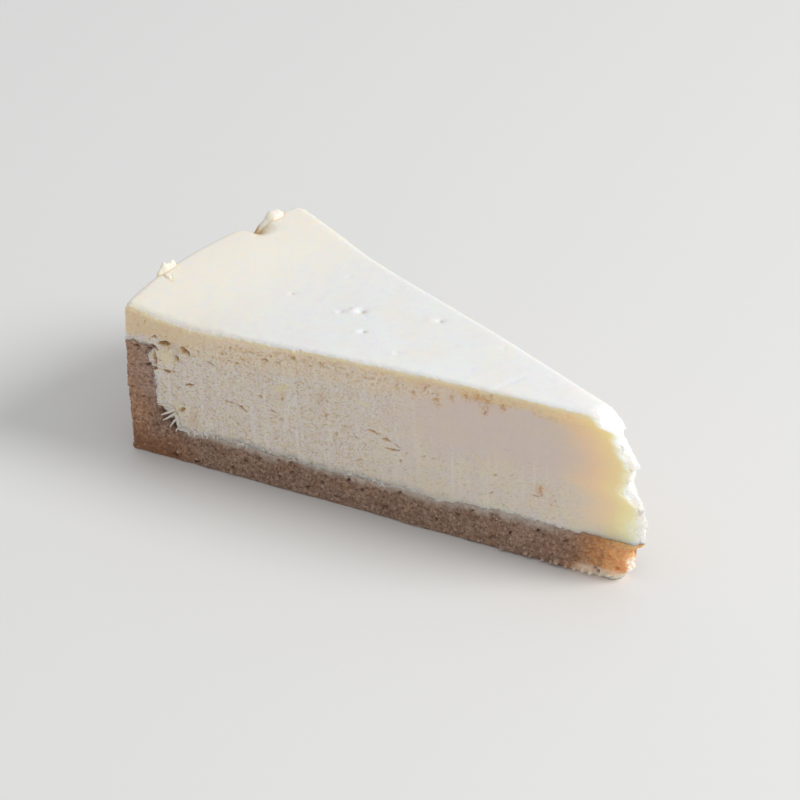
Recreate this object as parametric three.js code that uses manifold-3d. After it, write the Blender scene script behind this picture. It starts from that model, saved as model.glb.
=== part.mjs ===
// A slice of baked cheesecake: a custard filling on a crumb crust that comes up round the outside as a wall.
// Millimetres, +Z up. The slice lies flat on z = 0 and points along +X; the round outer rim is at -X.
import * as THREE from "three";
import { mergeVertices } from "three/addons/utils/BufferGeometryUtils.js";
import Module from "manifold-3d";

const wasm = await Module();
wasm.setup();

const { clamp, degToRad, lerp, radToDeg, smoothstep } = THREE.MathUtils;

// ---------- driving dimensions ----------
const cakeRadius = 127; // a ten inch cake
const sliceAngle = degToRad(26.2); // a little over one fourteenth of the cake
const rimX = -64; // the outermost point of the rim
const cutsCrossPast = 2.5; // the two knife cuts cross this far past the cake's centre
const centreX = rimX + cakeRadius;
const apexX = centreX + cutsCrossPast;

// The top stands high in the middle of the cake, sinks towards the rim and turns up at it, least along the
// -Y cut: [radius, height along the -Y cut, height midway, height along the +Y cut].
const topHeights = [
  [0, 39.5, 39.5, 39.5],
  [18, 39.4, 39.4, 39.3],
  [35, 39.2, 39.1, 39.0],
  [50, 38.8, 38.7, 38.6],
  [65, 38.2, 38.1, 38.0],
  [78, 37.5, 37.5, 37.3],
  [90, 36.5, 36.9, 36.7],
  [98, 36.1, 36.6, 36.5],
  [105, 35.6, 36.7, 36.9],
  [111, 35.2, 37.2, 37.6],
  [116, 35.9, 37.9, 37.9],
  [121, 36.5, 38.5, 38.2],
  [125, 37.4, 38.9, 38.3],
  [130, 37.6, 39.0, 38.3],
];
const topEdgeRound = 2.4;

const crust = { base: 8.6, thickerAtTip: 1.5, wall: 7.5, wallHeight: 28.6, innerFillet: 5.5, footRound: 1.8 };
const layerGap = 0.3; // filling and crust are two solids that meet face to face

// How far the torn tip stands back from where the cuts cross: [height, along the -Y cut, along the +Y cut].
const tipSetback = [
  [0, 9.4, 9.6],
  [3, 7.0, 6.9],
  [8, 6.6, 6.3],
  [10, 5.5, 3.9],
  [15, 4.9, 2.9],
  [19.5, 4.5, 3.8],
  [21.7, 7.6, 5.4],
  [24, 7.5, 7.4],
  [27, 6.5, 6.8],
  [28.6, 6.3, 5.5],
  [31, 7.4, 8.1],
  [33, 9.6, 10.3],
  [35.5, 10.6, 10.6],
  [36.6, 12.9, 11.2],
  [38.2, 14.5, 14.5],
  [52, 15.0, 15.0],
];

// Dents in the top skin, and one blister beside the deepest: [x, y, across, depth].
const dents = [
  [-17.2, 0.9, 3.4, 1.2],
  [-20.0, -0.6, 3.0, -0.5],
  [-10.7, -5.3, 2.8, 0.8],
  [-30.5, 12.0, 2.6, 0.6],
  [-0.3, 8.0, 3.0, 0.7],
  [1.4, -8.0, 2.6, 0.5],
];

// The rim's skin came away with the tin in one place: angles about the cake's centre, in degrees.
const rimTear = { at: 6.5, spread: 1.3, depth: 2.6, reach: 7 };

// Filling that the tin's ring pulled up into two curls beside it. Each lump has its middle, its size along,
// across and up, its turn about Z and its lean about its own length, in degrees.
const curlLumps = [
  { at: [-61.9, -14.4, 38.4], size: [1.7, 2.6, 4.2], turn: 8, lean: 12 },
  { at: [-61.8, -12.5, 38.3], size: [1.6, 2.2, 4.4], turn: -6, lean: -10 },
  { at: [-59.8, -14.6, 38.2], size: [6.2, 3.2, 2.4], turn: -23, lean: 0 },
  { at: [-59.3, 16.4, 36.9], size: [8.2, 3.6, 4.0], turn: -49, lean: 10 },
  { at: [-60.2, 19.8, 38.0], size: [7.4, 3.2, 3.8], turn: 79, lean: -8 },
  { at: [-58.0, 18.6, 37.4], size: [7.4, 3.4, 2.8], turn: -58, lean: 0 },
];

// Relief: how deep it goes and how far apart its lumps are.
const pressedCrumb = { depth: 0.3, apart: 4 }; // the round outside
const cutCrumb = { depth: 0.7, apart: 2.2 }; // crumb under the knife
const knifeWave = { depth: 0.5, apart: 16 };
const coarseCut = { depth: 0.3, apart: 3, from: 60, to: 110 }; // filling, rougher towards the rim
const topWave = { depth: 0.3, apart: 13 };
const tipCrags = [
  { depth: 0.7, apart: 1.9, stretch: 1.7 },
  { depth: 0.5, apart: 4, stretch: 1 },
];

// Short, nearly level tears that the knife leaves in the filling; along is measured from where the cuts cross.
const knifeTears = { count: 26, width: 1.1, along: [38, 118], up: [12, 33], length: [3, 8] };
const tearRange = { depth: [0.4, 0.9], tilt: [-0.35, 0.1] };

// Mesh fineness.
const turns = 200;
const knifeFace = { length: 150, height: 56, depth: 90, below: 4, past: 8, cellAlong: 2.5, cellUp: 1.8 };
const tipFace = { width: 12, height: 56, depth: 40, across: 14, up: 46 };

// ---------- smooth noise that depends only on place ----------
function hash(i, j, k, seed) {
  const n = Math.sin(i * 127.1 + j * 311.7 + k * 74.7 + seed * 53.3) * 43758.5453;
  return n - Math.floor(n);
}

// Noise from -1 to 1 whose lumps are `apart` from each other.
function noise(x, y, z, apart, seed) {
  const place = [x / apart, y / apart, z / apart];
  const cell = place.map(Math.floor);
  const t = place.map((p, axis) => smoothstep(p - cell[axis], 0, 1));
  let sum = 0;
  for (let corner = 0; corner < 8; corner++) {
    const step = [corner & 1, (corner >> 1) & 1, corner >> 2];
    const weight = step.reduce((w, s, axis) => w * (s ? t[axis] : 1 - t[axis]), 1);
    sum += weight * hash(cell[0] + step[0], cell[1] + step[1], cell[2] + step[2], seed);
  }
  return 2 * sum - 1;
}

// How far a relief cuts in at a place: from nothing to its full depth.
function cutIn(relief, x, y, z, seed) {
  return (relief.depth / 2) * (1 + noise(x, y, z, relief.apart, seed));
}

// A seeded stream of numbers, each between the two ends given.
function draws(seed) {
  let count = 0;
  return ([low, high]) => lerp(low, high, hash(count++, seed, 1, 7));
}

// ---------- the whole cake's section, as points of radius and height ----------
// The top's height; turn runs from -1 on the -Y cut to 1 on the +Y cut.
function topHeight(r, turn = 0) {
  const above = Math.max(1, topHeights.findIndex(([radius]) => radius > r));
  const [low, high] = [topHeights[above - 1], topHeights[above]];
  const t = (r - low[0]) / (high[0] - low[0]);
  const [near, middle, far] = [1, 2, 3].map((column) => lerp(low[column], high[column], t));
  return middle + ((turn < 0 ? near : far) - middle) * Math.abs(turn) ** 3;
}

// The base is thicker under the middle of the cake, where it was pressed last.
function baseHeight(r) {
  return crust.base + crust.thickerAtTip * (1 - smoothstep(r, 30, 50));
}

function arc(x, y, radius, from, to, steps) {
  const points = [];
  for (let i = 0; i <= steps; i++) {
    const a = degToRad(lerp(from, to, i / steps));
    points.push(new THREE.Vector2(x + radius * Math.cos(a), y + radius * Math.sin(a)));
  }
  return points;
}

// Points from one radius to another, on a height that depends on the radius.
function run(from, to, spacing, heightAt) {
  const steps = Math.round(Math.abs(to - from) / spacing);
  const points = [];
  for (let i = 0; i <= steps; i++) {
    const r = lerp(from, to, i / steps);
    points.push(new THREE.Vector2(r, heightAt(r)));
  }
  return points;
}

// Points straight up or down at one radius.
function rise(r, from, to, spacing) {
  const steps = Math.round(Math.abs(to - from) / spacing);
  const points = [];
  for (let i = 0; i <= steps; i++) points.push(new THREE.Vector2(r, lerp(from, to, i / steps)));
  return points;
}

// The inside of the crust, from the wall's top down to the base and in to the axis, moved in by `gap`.
function crustInside(gap) {
  const wall = cakeRadius - crust.wall - gap;
  const radius = crust.innerFillet - gap;
  const floor = (r) => baseHeight(r) + gap;
  return [
    ...rise(wall, crust.wallHeight + gap, floor(wall) + radius, 5),
    ...arc(wall - radius, floor(wall) + radius, radius, 0, -90, 5).slice(1),
    ...run(wall - radius, 0, 4.5, floor).slice(1),
  ];
}

function crustProfile() {
  const foot = crust.footRound;
  return [
    new THREE.Vector2(0, 0),
    ...arc(cakeRadius - foot, foot, foot, -90, 0, 3),
    ...rise(cakeRadius, foot, crust.wallHeight - foot, 2.4).slice(1),
    ...arc(cakeRadius - foot, crust.wallHeight - foot, foot, 0, 90, 3).slice(1),
    ...crustInside(0),
  ];
}

function fillingProfile() {
  const lip = crust.wallHeight + layerGap;
  const edge = cakeRadius - topEdgeRound;
  const shoulder = topHeight(edge) - topEdgeRound;
  return [
    ...crustInside(layerGap).reverse(),
    ...run(cakeRadius - crust.wall, cakeRadius, 3, () => lip).slice(1),
    ...rise(cakeRadius, lip, shoulder, 2).slice(1),
    ...arc(edge, shoulder, topEdgeRound, 0, 90, 4).slice(1),
    ...run(edge, 0, 2.6, topHeight).slice(1),
  ];
}

// ---------- the whole cake, with its relief ----------
function spin(profile) {
  return new THREE.LatheGeometry(profile, turns).rotateX(Math.PI / 2).translate(centreX, 0, 0);
}

function moveVertices(geometry, move) {
  const place = geometry.getAttribute("position");
  const point = new THREE.Vector3();
  for (let i = 0; i < place.count; i++) {
    move(point.fromBufferAttribute(place, i));
    place.setXYZ(i, point.x, point.y, point.z);
  }
  return geometry;
}

function fromCentre(p) {
  return Math.hypot(p.x - centreX, p.y);
}

// Moves a point of the cake's round outside in towards the axis.
function pressIn(p) {
  const r = fromCentre(p);
  const scale = (r - cutIn(pressedCrumb, p.x, p.y, p.z, 3)) / r;
  p.x = centreX + (p.x - centreX) * scale;
  p.y *= scale;
}

function crustCake() {
  return moveVertices(spin(crustProfile()), (p) => {
    if (fromCentre(p) > cakeRadius - 1 && p.z > crust.footRound) pressIn(p);
  });
}

// The skin's own height: gentle waves, dents, and the tear at the rim.
function skinRelief(p) {
  const r = fromCentre(p);
  const fade = 1 - smoothstep(r, cakeRadius - 8, cakeRadius);
  const angle = radToDeg(Math.atan2(p.y, centreX - p.x));
  const turn = clamp(angle / radToDeg(sliceAngle / 2), -1, 1);
  let lift = topHeight(r, turn) - topHeight(r) + topWave.depth * noise(p.x, p.y, 0, topWave.apart, 5) * fade;
  for (const [x, y, across, depth] of dents) {
    lift -= depth * Math.exp(-((p.x - x) ** 2 + (p.y - y) ** 2) / (across / 2) ** 2);
  }
  const torn = Math.exp(-(((angle - rimTear.at) / rimTear.spread) ** 2));
  return lift - rimTear.depth * torn * smoothstep(r, cakeRadius - rimTear.reach, cakeRadius - 1);
}

function fillingCake() {
  const lip = crust.wallHeight + layerGap;
  return moveVertices(spin(fillingProfile()), (p) => {
    if (fromCentre(p) > cakeRadius - 1) pressIn(p);
    p.z += skinRelief(p) * smoothstep(p.z, lip + 1, topHeight(cakeRadius) - topEdgeRound);
  });
}

// ---------- solids ----------
function solid(geometry) {
  const bare = new THREE.BufferGeometry().setAttribute("position", geometry.getAttribute("position"));
  bare.setIndex(geometry.index);
  const merged = mergeVertices(bare, 1e-4);
  return new wasm.Manifold(
    new wasm.Mesh({
      numProp: 3,
      vertProperties: merged.getAttribute("position").array,
      triVerts: new Uint32Array(merged.index.array),
    }),
  );
}

// Stands a block whose front is local +Z so that the front faces `outwards`, with local +Y up.
function stand(block, outwards) {
  const up = new THREE.Vector3(0, 0, 1);
  const along = new THREE.Vector3().crossVectors(up, outwards);
  block.applyMatrix4(new THREE.Matrix4().makeBasis(along, up, outwards));
  return block.translate(apexX, 0, 0);
}

// ---------- the knife's two cuts ----------
function makeTears(seed) {
  const draw = draws(seed);
  const tears = [];
  for (let i = 0; i < knifeTears.count; i++) {
    tears.push({
      along: draw(knifeTears.along),
      up: draw(knifeTears.up),
      length: draw(knifeTears.length),
      depth: draw(tearRange.depth),
      tilt: draw(tearRange.tilt),
    });
  }
  return tears;
}

function tearDepth(tears, along, up) {
  let deepest = 0;
  for (const tear of tears) {
    const across = (up - tear.up - tear.tilt * (along - tear.along)) / knifeTears.width;
    const lengthways = (along - tear.along) / (tear.length / 2);
    deepest = Math.max(deepest, tear.depth * Math.exp(-(across ** 2) - lengthways ** 2));
  }
  return deepest;
}

// How far a cut face stands in from the knife's plane.
function cutRelief(along, up, tears, seed) {
  const inWall = along > cakeRadius + cutsCrossPast - crust.wall && up < crust.wallHeight;
  const crumb = inWall || up < baseHeight(along) ? cutIn(cutCrumb, along, up, 0, seed) : 0;
  const coarse = smoothstep(along, coarseCut.from, coarseCut.to) * cutIn(coarseCut, along, up, 0, seed + 2);
  return crumb + coarse + cutIn(knifeWave, along, up, 0, seed + 1) + tearDepth(tears, along, up);
}

// Everything on the slice's side of one cut; side is -1 or 1, the sign of Y that the cut faces.
function insideCut(side) {
  const { length, height, depth, below, past, cellAlong, cellUp } = knifeFace;
  const tears = makeTears(side + 12);
  const block = new THREE.BoxGeometry(
    length,
    height,
    depth,
    Math.round(length / cellAlong),
    Math.round(height / cellUp),
    1,
  );
  block.translate(side * (length / 2 - past), height / 2 - below, -depth / 2);
  moveVertices(block, (p) => {
    if (p.z > -1) p.z -= cutRelief(side * p.x, p.y, tears, side + 20);
  });
  const half = sliceAngle / 2;
  return solid(stand(block, new THREE.Vector3(Math.sin(half), side * Math.cos(half), 0)));
}

// ---------- the torn tip ----------
function setbackAt(y, up) {
  const above = Math.max(1, tipSetback.findIndex(([z]) => z > up));
  const [low, high] = [tipSetback[above - 1], tipSetback[above]];
  const t = clamp((up - low[0]) / (high[0] - low[0]), 0, 1);
  const near = lerp(low[1], high[1], t);
  const far = lerp(low[2], high[2], t);
  return lerp(near, far, clamp(0.5 + y / (near * sliceAngle), 0, 1));
}

// What is gone from the tip: a block whose face towards the slice follows the tear.
function tipGap() {
  const { width, height, depth, across, up } = tipFace;
  const block = new THREE.BoxGeometry(width, height, depth, across, up, 1);
  block.translate(0, height / 2 - knifeFace.below, -depth / 2);
  moveVertices(block, (p) => {
    if (p.z < -1) return;
    p.z += setbackAt(-p.x, p.y);
    tipCrags.forEach(({ depth: crag, apart, stretch }, i) => {
      p.z += crag * noise(p.x / stretch, p.y, 0, apart, 31 + i);
    });
  });
  return solid(stand(block, new THREE.Vector3(-1, 0, 0)));
}

// ---------- the curls on the rim ----------
function curl({ at, size, turn, lean }, seed) {
  const lump = new THREE.SphereGeometry(0.5, 9, 7).rotateX(Math.PI / 2).scale(...size);
  moveVertices(lump, (p) => p.multiplyScalar(1 + 0.22 * noise(p.x, p.y, p.z, 1.4, seed)));
  lump.rotateX(degToRad(lean)).rotateZ(degToRad(turn));
  return solid(lump.translate(...at));
}

// ---------- the slice ----------
const knife = insideCut(-1).intersect(insideCut(1)).subtract(tipGap());
const curled = curlLumps.reduce((made, lump, i) => made.add(curl(lump, 60 + i)), solid(fillingCake()));

// The piece of a cake that the knife leaves, without the specks that its relief cuts loose.
function sliceOf(cake) {
  const pieces = cake.intersect(knife).decompose();
  return pieces.reduce((largest, piece) => (piece.volume() > largest.volume() ? piece : largest));
}

function toMesh(name, made, color, roughness) {
  const { vertProperties, triVerts } = made.getMesh();
  const geometry = new THREE.BufferGeometry();
  geometry.setAttribute("position", new THREE.BufferAttribute(vertProperties, 3));
  geometry.setIndex(new THREE.BufferAttribute(triVerts, 1));
  geometry.computeVertexNormals();
  const mesh = new THREE.Mesh(geometry, new THREE.MeshStandardMaterial({ color, roughness, metalness: 0 }));
  mesh.name = name;
  return mesh;
}

const slice = new THREE.Group();
slice.add(toMesh("crumb_crust", sliceOf(solid(crustCake())), 0xa98467, 0.9));
slice.add(toMesh("baked_filling", sliceOf(curled), 0xf3ead2, 0.5));

export default slice;
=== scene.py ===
import math
from functools import partial

import bpy
import numpy as np
from mathutils import Matrix, Vector


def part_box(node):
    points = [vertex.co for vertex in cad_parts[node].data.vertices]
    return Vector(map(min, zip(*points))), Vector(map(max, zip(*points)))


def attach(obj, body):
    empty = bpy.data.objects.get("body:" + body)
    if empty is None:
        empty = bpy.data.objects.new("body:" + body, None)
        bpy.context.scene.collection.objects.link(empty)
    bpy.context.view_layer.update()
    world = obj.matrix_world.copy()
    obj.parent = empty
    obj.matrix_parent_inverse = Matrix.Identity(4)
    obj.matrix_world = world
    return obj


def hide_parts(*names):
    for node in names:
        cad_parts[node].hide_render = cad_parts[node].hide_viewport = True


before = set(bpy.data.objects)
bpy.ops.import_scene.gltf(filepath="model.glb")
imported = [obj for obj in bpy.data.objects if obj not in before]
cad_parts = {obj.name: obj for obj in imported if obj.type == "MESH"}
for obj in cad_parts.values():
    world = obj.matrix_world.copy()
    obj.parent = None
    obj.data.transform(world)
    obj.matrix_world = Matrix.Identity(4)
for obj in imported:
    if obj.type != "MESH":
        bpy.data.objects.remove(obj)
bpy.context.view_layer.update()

mm = 0.001
scene = bpy.context.scene

# The slice is a wedge of a round cake. Work happens in millimetres and in the wedge's own terms: side runs
# from -1 on the -Y cut to 1 on the +Y cut, along is the distance from where the cuts cross, up is Z.
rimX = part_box("crumb_crust")[0].x / mm
cake = {
    "radius": 127.0,
    "pastCentre": 2.5,       # the cuts cross this far past the cake's centre
    "halfAngle": math.radians(12.95),
    "base": 8.6,
    "thickerAtTip": 1.5,     # extra base under the middle of the cake
    "wall": 7.5,             # thickness of the crust that comes up the side
    "wallHeight": 28.7,
    "fillet": 5.5,           # inside corner between base and wall
    "foot": 1.8,             # rounding of the crust's lower outer edge
    "topRound": 2.4,         # rounding of the filling's outer top edge
    "knifeRound": 1.5,       # rounding where the knife left the top skin; more on the +Y cut and at the rim
    "tornRound": 1.7,        # rounding where a cut meets the torn tip
    "cutFoot": 0.5,          # rounding of the cuts' lower edges
    "rimCorner": 0.6,        # rounding of the upright corners at the rim, three times as much near the top
}
cake["outer"] = cake["radius"] + cake["pastCentre"]
cake["wallIn"] = cake["outer"] - cake["wall"]
apexX = rimX + cake["outer"]
halfSine = math.sin(cake["halfAngle"])

# the top: along, height on the -Y cut, midway and on the +Y cut
topHeights = np.array([
    (0, 39.4, 39.4, 39.3), (20, 39.4, 39.3, 39.2), (37, 39.2, 39.1, 39.0), (52, 38.8, 38.7, 38.6),
    (67, 38.2, 38.1, 38.0), (80, 37.5, 37.5, 37.3), (92, 36.5, 36.9, 36.7), (100, 36.1, 36.6, 36.5),
    (107, 35.6, 36.7, 36.9), (113, 35.2, 37.2, 37.6), (118, 35.8, 37.9, 37.9), (123, 36.5, 38.4, 38.2),
    (127, 37.4, 38.8, 38.3), (132, 37.6, 38.9, 38.3),
])

# how far the torn tip stands back from the apex: height, on the -Y side, on the +Y side
tipSetback = np.array([
    (0, 9.6, 9.6), (1.5, 8.6, 8.4), (3, 7.0, 6.9), (8, 6.4, 6.3), (10, 5.5, 3.9), (15, 4.9, 2.9),
    (19.5, 4.5, 3.8), (21.7, 8.0, 5.4), (24, 7.7, 7.6), (27, 6.6, 6.8), (28.6, 6.3, 5.3), (31, 7.1, 8.1),
    (33, 8.6, 10.3), (35.5, 9.5, 10.6), (36.3, 10.2, 11.0), (36.8, 12.1, 12.4), (38.4, 13.2, 14.0),
    (40, 14, 15),
])

def smooth(value, low, high):
    t = np.clip((value - low) / (high - low), 0, 1)
    return t * t * (3 - 2 * t)

def bell(value, middle, width):
    return np.exp(-((value - middle) / width) ** 2)

# noise from -1 to 1 whose lumps stand about `apart` from each other
def lumps(points, apart, seed):
    place = np.asarray(points) / apart
    cell = np.floor(place)
    t = place - cell
    t = t * t * (3 - 2 * t)
    total = np.zeros(len(place))
    for corner in range(8):
        step = np.array([corner & 1, corner >> 1 & 1, corner >> 2])
        key = np.sin((cell + step) @ (127.1, 311.7, 74.7) + seed * 53.3) * 43758.5453
        total += np.prod(np.where(step == 1, t, 1 - t), axis=1) * (key - np.floor(key))
    return 2 * total - 1

def toPlace(side, along, up):
    angle = side * cake["halfAngle"]
    return np.stack([apexX - along * np.cos(angle), along * np.sin(angle), up], axis=-1)

# how far in from the nearer cut a place lies
def inFromCut(side, along):
    return along * np.sin(cake["halfAngle"] * (1 - np.abs(side)))

def addMesh(name, points, faces, attributes=None):
    mesh = bpy.data.meshes.new(name)
    mesh.from_pydata((np.asarray(points) * mm).tolist(), [], faces)
    for key, values in (attributes or {}).items():
        layer = mesh.attributes.new(key, "FLOAT", "POINT")
        layer.data.foreach_set("value", np.asarray(values, np.float32))
    mesh.validate()
    piece = bpy.data.objects.new(name, mesh)
    scene.collection.objects.link(piece)
    return piece

# the cake's top surface, averaged over 8 mm so that it has no creases
def topHeight(along, side):
    place, *columns = topHeights.T
    reach = np.linspace(-4, 4, 5)
    near, middle, far = (
        np.mean([np.interp(along + shift, place, column) for shift in reach], axis=0) for column in columns
    )
    return middle + (np.where(side < 0, near, far) - middle) * np.abs(side) ** 3

# the crust's upper face: level, thicker at the tip, sweeping up to the wall, and uneven from pressing
def baseHeight(along, side):
    along = np.minimum(along, cake["wallIn"])
    spot = toPlace(side, along, 0 * along)
    height = cake["base"] + cake["thickerAtTip"] * (1 - smooth(along - cake["pastCentre"], 30, 50))
    into = np.clip(along - (cake["wallIn"] - cake["fillet"]), 0, cake["fillet"])
    height += cake["fillet"] - np.sqrt(cake["fillet"] ** 2 - into ** 2)
    heap = smooth(along, 116.7, 118.2) * (1 - smooth(side, -1, -0.93))
    height += (np.maximum(height, 13.0 + 0.3 * (along - 118)) - height) * heap
    uneven = 0.3 * lumps(spot, 5, 2) + 0.26 * lumps(spot, 1.7, 3) + 0.15 * lumps(spot, 0.7, 6)
    return height + uneven * (1 - smooth(into, 3, 5.5))

# the top of the wall, lower on its inner side on the -Y cut where a chip of it leans in
def lipHeight(along, side):
    spot = toPlace(side, along, 0 * along)
    inner = 1 - smooth(along, cake["wallIn"], cake["outer"] - 3)
    near = 1 - smooth(side, -1, -0.6)
    return cake["wallHeight"] - 0.7 * inner * near + 0.45 * lumps(spot, 2.6, 4) + 0.35 * lumps(spot, 1.1, 5)

# where the torn tip's face stands: its outline at the two cuts, with crags
def tipAlong(side, up):
    nearSide = np.interp(up, tipSetback[:, 0], tipSetback[:, 1])
    farSide = np.interp(up, tipSetback[:, 0], tipSetback[:, 2])
    mean = nearSide + (farSide - nearSide) * (side + 1) / 2
    spot = np.stack([side * 2.2, 0 * side, up], axis=-1)
    crags = 0.85 * lumps(spot, 1.5, 11) + 0.5 * lumps(spot, 0.75, 12) + 0.4 * lumps(spot, 3.4, 13)
    return mean + crags * (0.35 + 0.65 * smooth(up, 8, 11))

# A mesh of stacked blocks of cells, bent onto the wedge. Nodes are (across, along, up).
# A block is filled with cells; only the faces between filled and empty are made.
def blockFaces(blocks, shape):
    filled = np.zeros([n + 2 for n in shape], bool)
    for (a0, a1), (l0, l1), (u0, u1) in blocks:
        filled[a0 + 1:a1 + 1, l0 + 1:l1 + 1, u0 + 1:u1 + 1] = True
    quads = []
    for axis in range(3):
        one, two = (axis + 1) % 3, (axis + 2) % 3
        for way in (1, -1):
            edge = filled & ~np.roll(filled, -way, axis=axis)
            corner = np.argwhere(edge) - 1
            if way == 1:
                corner[:, axis] += 1
            ring = []
            for stepOne, stepTwo in ((0, 0), (1, 0), (1, 1), (0, 1))[::way]:
                node = corner.copy()
                node[:, one] += stepOne
                node[:, two] += stepTwo
                ring.append(node)
            quads.append(np.stack(ring, axis=1))
    return np.concatenate(quads)

# faces of merged nodes: triangles where one edge closed up, nothing where two did
def keepWhole(quads):
    faces = []
    for quad in quads.tolist():
        ring = [v for n, v in enumerate(quad) if v != quad[n - 1]]
        if len(set(ring)) == len(ring) > 2:
            faces.append(ring)
    return faces

def evenly(start, end, step):
    count = 2 * round((end - start) / step / 2)
    return np.linspace(start, end, count + 1)

class Lattice:
    def __init__(self, across, fineStep, tipStep, baseStep, upStep):
        self.across = across
        self.tipMean = 7.0
        main = np.concatenate([evenly(self.tipMean, 50, tipStep), evenly(50, cake["wallIn"], fineStep)[1:]])
        wall = evenly(cake["wallIn"], cake["outer"], fineStep * 1.15)[1:]
        self.along = np.concatenate([main, wall])
        self.wallColumn = len(main) - 1
        self.columns = len(self.along) - 1
        self.baseRow = len(evenly(0, cake["base"], baseStep)) - 1
        self.lipRow = self.baseRow + len(evenly(0, 19, upStep)) - 1
        self.rows = self.lipRow + len(evenly(0, 8.5, upStep)) - 1
        self.shape = (self.across, self.columns, self.rows)

    # Only the -Y cut keeps every node. The rest is thinned, most where it is narrow or hidden.
    def thin(self, nodes, hiddenRows, keepRim=False):
        across, along, _ = nodes.T
        plain = (across > 0) & ~((along == self.columns) & keepRim)
        nodes[plain, 1:] = nodes[plain, 1:] // 2 * 2
        width = self.along[nodes[:, 1]] * 2 * halfSine / self.across
        every = 2 ** np.clip(np.floor(np.log2(0.5 / width)), 0, 4).astype(int)
        nodes[:, 0] = np.round(nodes[:, 0] / every) * every
        coarse, margin = 16, 12  # cells to a coarse one, and cells kept along a hidden face's edge
        deep = np.isin(nodes[:, 2], hiddenRows)
        deep &= (nodes[:, 0] >= margin) & (nodes[:, 0] <= self.across - margin)
        deep &= (nodes[:, 1] > margin) & (nodes[:, 1] < self.wallColumn - 2 * coarse)
        for axis, end in ((0, self.across - coarse), (1, self.wallColumn - 2 * coarse)):
            nodes[deep, axis] = np.clip(np.round(nodes[deep, axis] / coarse) * coarse, coarse, end)
        return nodes

    def build(self, blocks, hiddenRows, keepRim=False):
        quads = blockFaces(blocks, self.shape)
        nodes = self.thin(quads.reshape(-1, 3), hiddenRows, keepRim)
        nodes, index = np.unique(nodes, axis=0, return_inverse=True)
        return nodes, keepWhole(index.reshape(-1, 4))

    def bend(self, nodes, sunk):
        side = nodes[:, 0] / self.across * 2 - 1
        along = self.along[nodes[:, 1]]
        row = nodes[:, 2]
        floor = baseHeight(along, side) - sunk
        lip = lipHeight(along, side) - sunk
        top = topHeight(along, side)
        up = floor * np.minimum(row / self.baseRow, 1)
        up += (lip - floor) * np.clip((row - self.baseRow) / (self.lipRow - self.baseRow), 0, 1)
        up += (top - lip) * np.clip((row - self.lipRow) / (self.rows - self.lipRow), 0, 1)
        along = along + (tipAlong(side, up) - self.tipMean) * (1 - smooth(along, self.tipMean, 32))
        # the wall's inner face isn't straight
        spot = np.stack([side * 30, 0 * side, up], axis=-1)
        wobble = 0.4 * lumps(spot, 3.5, 21) + 0.3 * lumps(spot, 1.4, 22)
        wobble += 1.4 * bell(up, 25.6, 1.7) * (1 - smooth(side, -1, -0.9))
        onWall = bell(along, cake["wallIn"], 1.6) * smooth(up, 12, 16) * (1 - smooth(up, 26, 28.3))
        along += (wobble + sunk) * onWall
        return side, along, up, top

# how far to move back from two crossing faces, at distances a and b in from them, to round their edge
def roundEdge(a, b, radius):
    u = np.maximum(radius - a, 0)
    v = np.maximum(radius - b, 0)
    length = np.hypot(u, v)
    scale = np.where(length > 0, np.maximum(u, v) / np.where(length > 0, length, 1), 1)
    return u * (1 - scale), v * (1 - scale)

def roundAll(side, along, up, top):
    def inCut():
        return inFromCut(side, along)

    def moveIn(distance):
        return side - np.sign(side) * distance / (along * halfSine)

    beyondTip = along - tipAlong(side, up)
    drop, pull = roundEdge(top - up, cake["outer"] - along, cake["topRound"])
    up, along = up - drop, along - pull
    lift, pull = roundEdge(up, cake["outer"] - along, cake["foot"])
    up, along = up + lift, along - pull
    soft = cake["knifeRound"] + 0.6 * smooth(along, 95, 125) + 1.0 * (side > 0)
    drop, pull = roundEdge(top - up, inCut(), soft)
    up, side = up - drop, moveIn(pull)
    lift, pull = roundEdge(up, inCut(), cake["cutFoot"])
    up, side = up + lift, moveIn(pull)
    pull, back = roundEdge(inCut(), cake["outer"] - along, cake["rimCorner"] * (1 + 2 * smooth(up, 26, 36)))
    side, along = moveIn(pull), along - back
    pull, back = roundEdge(inCut(), beyondTip, cake["tornRound"])
    side, along = moveIn(pull), along + back
    return side, along, up

# moves the vertices of the cut faces straight out from them
def pushCuts(points, cutSide, distance):
    outward = np.stack([
        np.full(len(points), halfSine), cutSide * math.cos(cake["halfAngle"]), np.zeros(len(points)),
    ], axis=-1)
    return points + outward * (distance * np.abs(cutSide))[:, None]

filling = {
    "grid": {"across": 80, "fineStep": 0.222, "tipStep": 0.34, "baseStep": 0.232, "upStep": 0.232},
    "sunk": 0.22,            # the filling's hidden faces lie this far inside the crust
    "waves": 0.16,           # height of the top skin's gentle waves
    "knifeWave": 0.22,       # how far the cut faces swell and sink
    "dragMarks": 0.1,        # upright ridges that the knife dragged
    "nearTears": 90, "farTears": 100, "edgeTears": 120,  # how many small slits the cuts have
    "rimTear": {"at": 6.3, "spread": 1.1, "deep": 2.6},  # the tear in the rim's skin, in degrees and mm
    "crease": {"along": 38.3, "slant": 2.7, "wide": 0.7, "deep": 0.12},  # a faint line across the skin
}

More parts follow.
